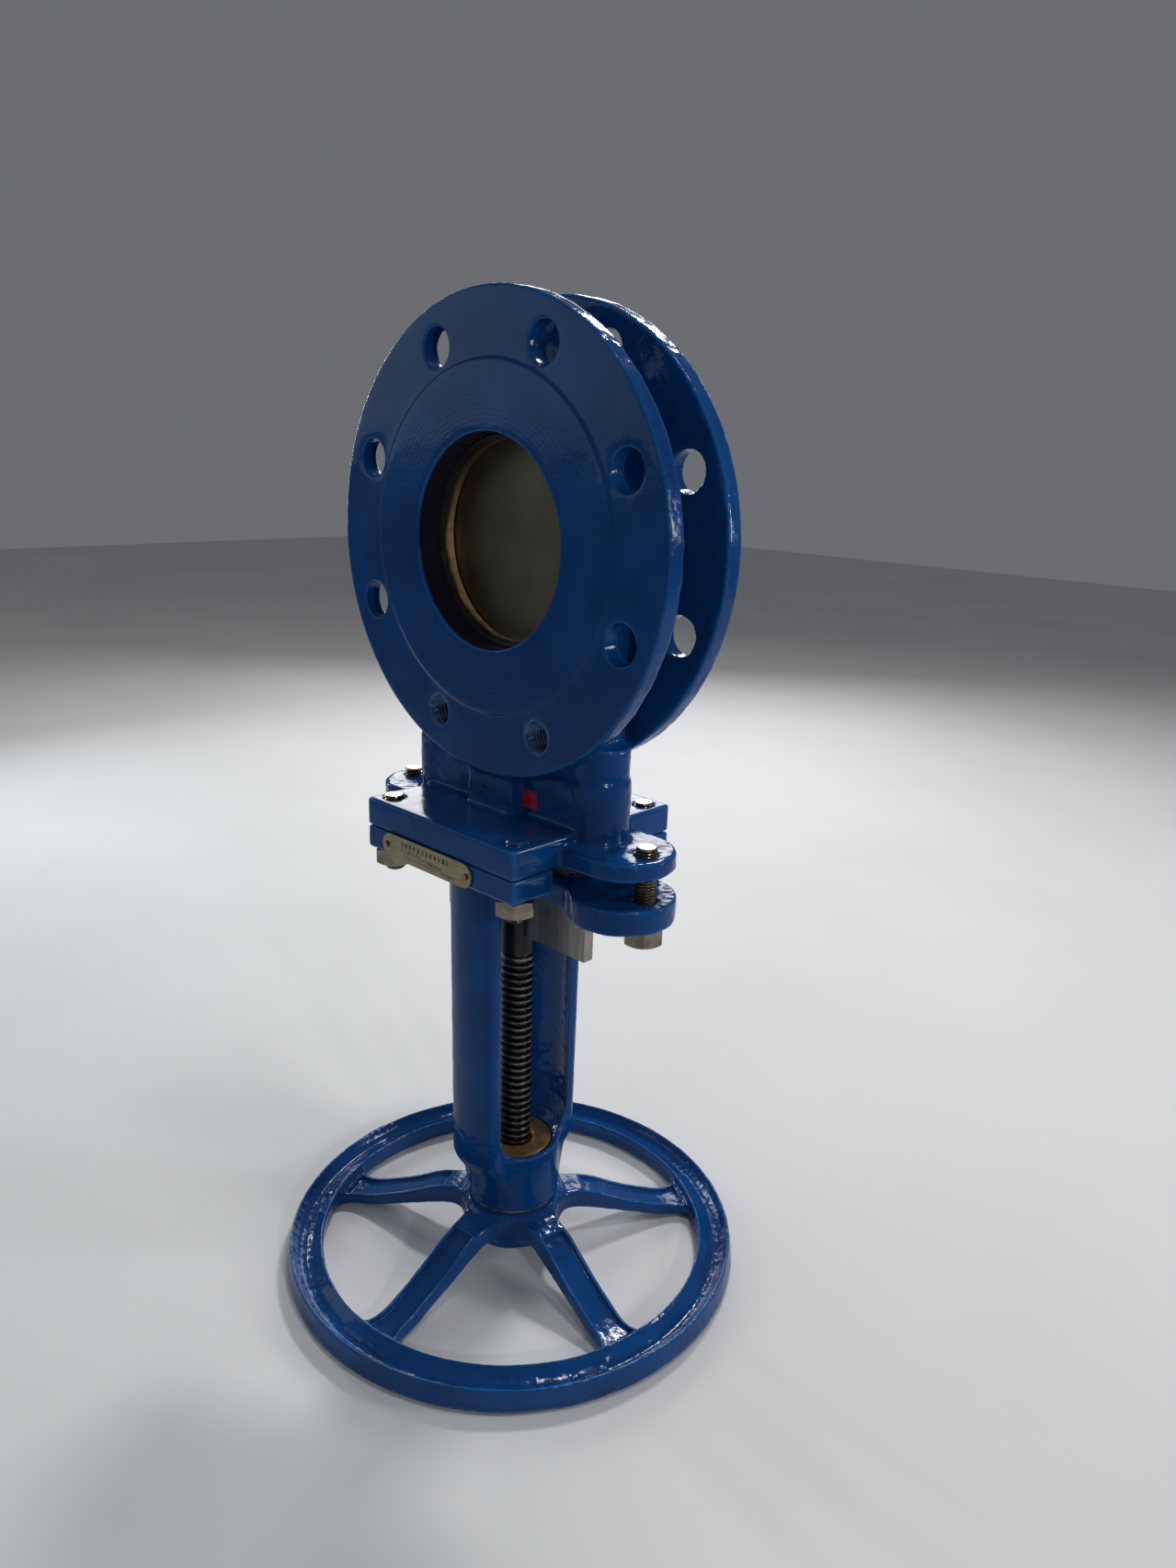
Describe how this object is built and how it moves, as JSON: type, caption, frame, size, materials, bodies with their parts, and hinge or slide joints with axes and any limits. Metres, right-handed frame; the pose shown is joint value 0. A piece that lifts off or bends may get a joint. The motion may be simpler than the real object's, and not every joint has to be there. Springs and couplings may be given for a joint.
{
  "type": "knife gate valve",
  "caption": "Knife gate valve with two drilled flanges, a sliding steel gate, gland and packing, a two-legged yoke and a spoked handwheel that drives a rising threaded stem.",
  "frame": {"origin": "on the stem axis, at the underside of the handwheel rim that the valve stands on", "axes": "+Z from the handwheel up to the flanges along the stem; Y along the pipe bore; X across the gate's width"},
  "size_m": [0.2448, 0.2448, 0.4913],
  "materials": {
    "body_paint": "gloss deep-blue enamel over a rough casting",
    "gland_paint": "gloss deep-blue enamel over a rough casting",
    "yoke_paint": "gloss deep-blue enamel over a rough casting",
    "wheel_paint": "gloss deep-blue enamel over a rough casting",
    "gate_steel": "brushed stainless plate",
    "plain_steel": "machined steel",
    "seat_bronze": "machined bronze",
    "nut_bronze": "turned bronze, slightly oily",
    "seal_rubber": "matte black rubber",
    "packing": "braided packing",
    "zinc_steel": "zinc-plated steel, slightly yellow",
    "oiled_steel": "oiled dark steel thread",
    "name_brass": "aged engraved plate",
    "rivet_steel": "small drive rivets"
  },
  "bodies": {
    "frame": {"valve_body": "body_paint", "front_seat_ring": "seat_bronze", "rear_seat_ring": "plain_steel", "seat_seal": "seal_rubber", "packing_ring_1": "packing", "packing_ring_2": "packing", "packing_ring_3": "packing", "packing_ring_4": "packing", "gland": "gland_paint", "gland_bolt_left": "zinc_steel", "gland_bolt_right": "zinc_steel", "yoke": "yoke_paint", "yoke_stud_front_left": "zinc_steel", "yoke_stud_front_right": "zinc_steel", "yoke_stud_rear_left": "zinc_steel", "yoke_stud_rear_right": "zinc_steel", "yoke_nut_front_left": "zinc_steel", "yoke_nut_front_right": "zinc_steel", "yoke_nut_rear_left": "zinc_steel", "yoke_nut_rear_right": "zinc_steel", "upper_thrust_washer": "plain_steel", "lower_thrust_washer": "plain_steel", "nameplate": "name_brass", "nameplate_rivet_left": "rivet_steel", "nameplate_rivet_right": "rivet_steel"},
    "wheel": {"handwheel": "wheel_paint", "stem_nut": "nut_bronze", "wheel_key": "plain_steel", "wheel_lock_nut": "zinc_steel"},
    "gate": {"knife_gate": "gate_steel", "stem": "oiled_steel", "gate_pin_lower": "plain_steel", "gate_pin_upper": "plain_steel"}
  },
  "joints": [
    {"name": "wheel_turn", "type": "hinge", "parent": "frame", "child": "wheel", "pos_m": [0, 0, 0.02], "axis": [0, 0, -1], "range_deg": [0, 9450]},
    {"name": "gate_slide", "type": "slide", "parent": "frame", "child": "gate", "axis": [0, 0, -1], "range_m": [0, 0.105]}
  ],
  "couplings": [
    {"joint": "gate_slide", "follows": "wheel_turn", "m_per_rad": 0.00063662}
  ]
}
